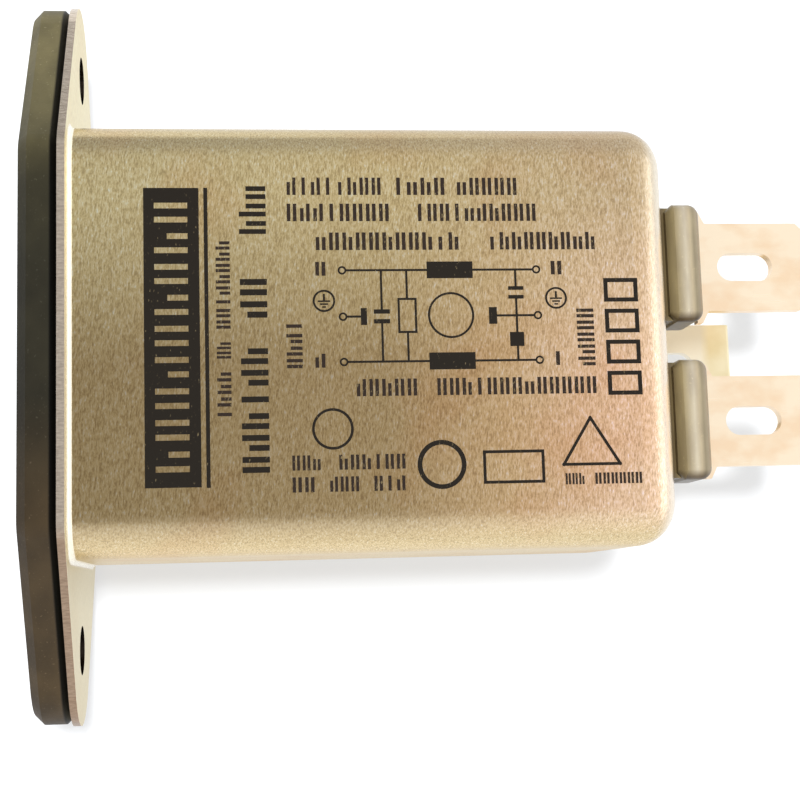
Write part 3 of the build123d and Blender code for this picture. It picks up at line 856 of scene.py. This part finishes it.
# A row of open boxes up the case by its closed end
batch = {
    "left": 34.72, "right": 36.72, "first": -3.60, "pitch": 2.05, "height": 1.30, "count": 4, "line": 0.27,
}
batchShapes = []
for i in range(batch["count"]):
    level = batch["first"] + i * batch["pitch"]
    low, high = level - batch["height"] / 2, level + batch["height"] / 2
    batchShapes += loopOf(bar(batch["left"], low, batch["right"], high), batch["line"])
printPiece("print_column_batch", batchShapes, inkFull)

# Plain shapes towards the case's -Y edge: two rings, an open box and a triangle
marks = {
    "ring": ((16.64, -6.31), 1.24, 0.17, 56),  # middle, radius, line and steps
    "heavyRing": ((23.55, -8.70), 1.42, 0.30, 64),
    "plate": (26.30, -9.90, 30.10, -7.95),
    "triangle": [(31.45, -8.85), (35.15, -8.85), (33.30, -5.85)],
    "line": 0.19,
}
markShapes = loopOf(bar(*marks["plate"]), marks["line"]) + loopOf(marks["triangle"], marks["line"])
printPiece("print_marks", markShapes, inkFull, [marks["ring"], marks["heavyRing"]])
print("print laid on the case")


# Floor: matt white paper. What the camera and reflections see of it is lifted towards
# white, and the rest of it is lit, so the object's shadow stays on it. Well away from the
# object it is all white, so that its far edge doesn't show.
floor = {
    "colour": "#F3F7FC", "size": 900.0, "lift": 0.55, "mirrorLift": 0.85, "mirror": 0.95,
    "middle": (20, 0), "fade": (60.0, 190.0),  # how far from the middle it turns white
}


def buildFloor(look, level):
    half = look["size"] / 2
    mesh = bpy.data.meshes.new("floor")
    corners = [(-half, -half), (half, -half), (half, half), (-half, half)]
    mesh.from_pydata([(x * mm, y * mm, level) for x, y in corners], [], [(0, 1, 2, 3)])
    piece = bpy.data.objects.new("floor", mesh)
    bpy.context.scene.collection.objects.link(piece)
    material, tree, shader = newMaterial("white paper")
    tree.nodes.remove(shader)
    paper = addNode(tree, "ShaderNodeBsdfDiffuse", {"Color": hexColour(look["colour"])})
    rays = addNode(tree, "ShaderNodeLightPath", out=None).outputs
    seenDirect = addNode(
        tree, "ShaderNodeMath", {"operation": "ADD", "use_clamp": True},
        {0: rays["Is Camera Ray"], 1: rays["Is Transmission Ray"]},
    )
    glowColour = addNode(
        tree, "ShaderNodeMix", {**cover, 6: grey(look["mirror"]), 7: grey(1.0)}, {0: seenDirect}, out=2
    )
    glow = addNode(tree, "ShaderNodeEmission", {"Strength": 1.0}, {"Color": glowColour})
    places = addNode(tree, "ShaderNodeTexCoord", out="Object")
    middle = (*[v * mm for v in look["middle"]], level)
    way = addNode(tree, "ShaderNodeVectorMath", {"operation": "SUBTRACT", 1: middle}, {0: places})
    distance = addNode(tree, "ShaderNodeVectorMath", {"operation": "LENGTH"}, {0: way}, out="Value")
    near, far = [v * mm for v in look["fade"]]
    share = addNode(
        tree, "ShaderNodeMapRange",
        {"From Min": near, "From Max": far, "To Min": look["lift"], "To Max": 1.0}, {"Value": distance},
    )
    lift = addNode(tree, "ShaderNodeMath", {"operation": "MULTIPLY"}, {0: seenDirect, 1: share})
    liftAll = addNode(
        tree, "ShaderNodeMath", {"operation": "MULTIPLY_ADD", 1: look["mirrorLift"]},
        {0: rays["Is Glossy Ray"], 2: lift},
    )
    mix = addNode(tree, "ShaderNodeMixShader", {}, {0: liftAll, 1: paper, 2: glow})
    tree.links.new(mix, tree.nodes["Material Output"].inputs["Surface"])
    mesh.materials.append(material)
    return piece


buildFloor(floor, cadBox[0].z)

# Room light: an even pale surround. Metal sees it dim towards the flange and brighter
# towards the tabs, with a bright strip low beyond them and a paler one low on the near
# side, and the camera sees plain white past the floor.
room = {
    "even": 0.62,
    "window": 1.9,
    "tabsWay": [
        (-1.0, 0.16), (-0.30, 0.20), (-0.08, 0.30), (0.12, 0.42), (0.26, 0.58), (0.80, 0.55), (0.97, 0.85),
    ],
    "nearWay": [(-1.0, 0.0), (0.30, 0.20), (0.62, 0.48), (1.0, 0.54)],  # towards -Y
    "farDim": {"From Min": 0.45, "From Max": 0.85, "To Min": 1.0, "To Max": 0.80},  # towards +Y
}


def buildRoom(look):
    world = bpy.data.worlds.new("room")
    world.use_nodes = True
    tree = world.node_tree
    tree.nodes.clear()
    direction = addNode(tree, "ShaderNodeTexCoord", out="Generated")
    reaches = [
        addNode(tree, "ShaderNodeVectorMath", {"operation": "DOT_PRODUCT", 1: way}, {0: direction}, out="Value")
        for way in ((1, 0, 0), (0, -1, 0), (0, 1, 0))
    ]
    falls = []
    for reach, stops in zip(reaches, (look["tabsWay"], look["nearWay"])):
        low, high = stops[0][0], stops[-1][0]
        share = addNode(tree, "ShaderNodeMapRange", {"From Min": low, "From Max": high}, {"Value": reach})
        falls.append(addNode(
            tree, "ShaderNodeValToRGB", {}, {"Fac": share},
            stops=[((p - low) / (high - low), grey(v)) for p, v in stops],
        ))
    dim = addNode(tree, "ShaderNodeMapRange", look["farDim"], {"Value": reaches[2]})
    fall = addNode(
        tree, "ShaderNodeMix", {"data_type": "RGBA", "blend_type": "LIGHTEN", 0: 1.0},
        {6: falls[0], 7: falls[1]}, out=2,
    )
    fall = addNode(tree, "ShaderNodeMix", {**tint, 0: 1.0}, {6: fall, 7: dim}, out=2)
    rays = addNode(tree, "ShaderNodeLightPath", out=None).outputs
    window = addNode(tree, "ShaderNodeBackground", {"Strength": look["window"]}, {"Color": fall})
    even = addNode(tree, "ShaderNodeBackground", {"Color": grey(1.0), "Strength": look["even"]})
    white = addNode(tree, "ShaderNodeBackground", {"Color": grey(1.0), "Strength": 1.0})
    lit = addNode(tree, "ShaderNodeMixShader", {}, {0: rays["Is Glossy Ray"], 1: even, 2: window})
    seen = addNode(tree, "ShaderNodeMixShader", {}, {0: rays["Is Camera Ray"], 1: lit, 2: white})
    addNode(tree, "ShaderNodeOutputWorld", {}, {"Surface": seen}, out=None)
    return world


bpy.context.scene.world = buildRoom(room)

# Lamp: one soft key almost overhead, a little from the far side, for the shadow on the floor.
# It is kept out of the metal's reflections, which the room gives.
key = {"place": (10, 36, 420), "aim": (22, 0, 0), "size": 60.0, "power": 2.4}
lamp = bpy.data.lights.new("key", "AREA")
lamp.shape = "SQUARE"
lamp.size = key["size"] * mm
lamp.energy = key["power"]
holder = bpy.data.objects.new("key", lamp)
holder.location = [v * mm for v in key["place"]]
away = [p - a for p, a in zip(key["place"], key["aim"])]
holder.rotation_euler = (
    math.atan2(math.hypot(away[0], away[1]), away[2]), 0, math.atan2(away[0], -away[1])
)
holder.visible_glossy = False
bpy.context.scene.collection.objects.link(holder)
print("stage and light set")
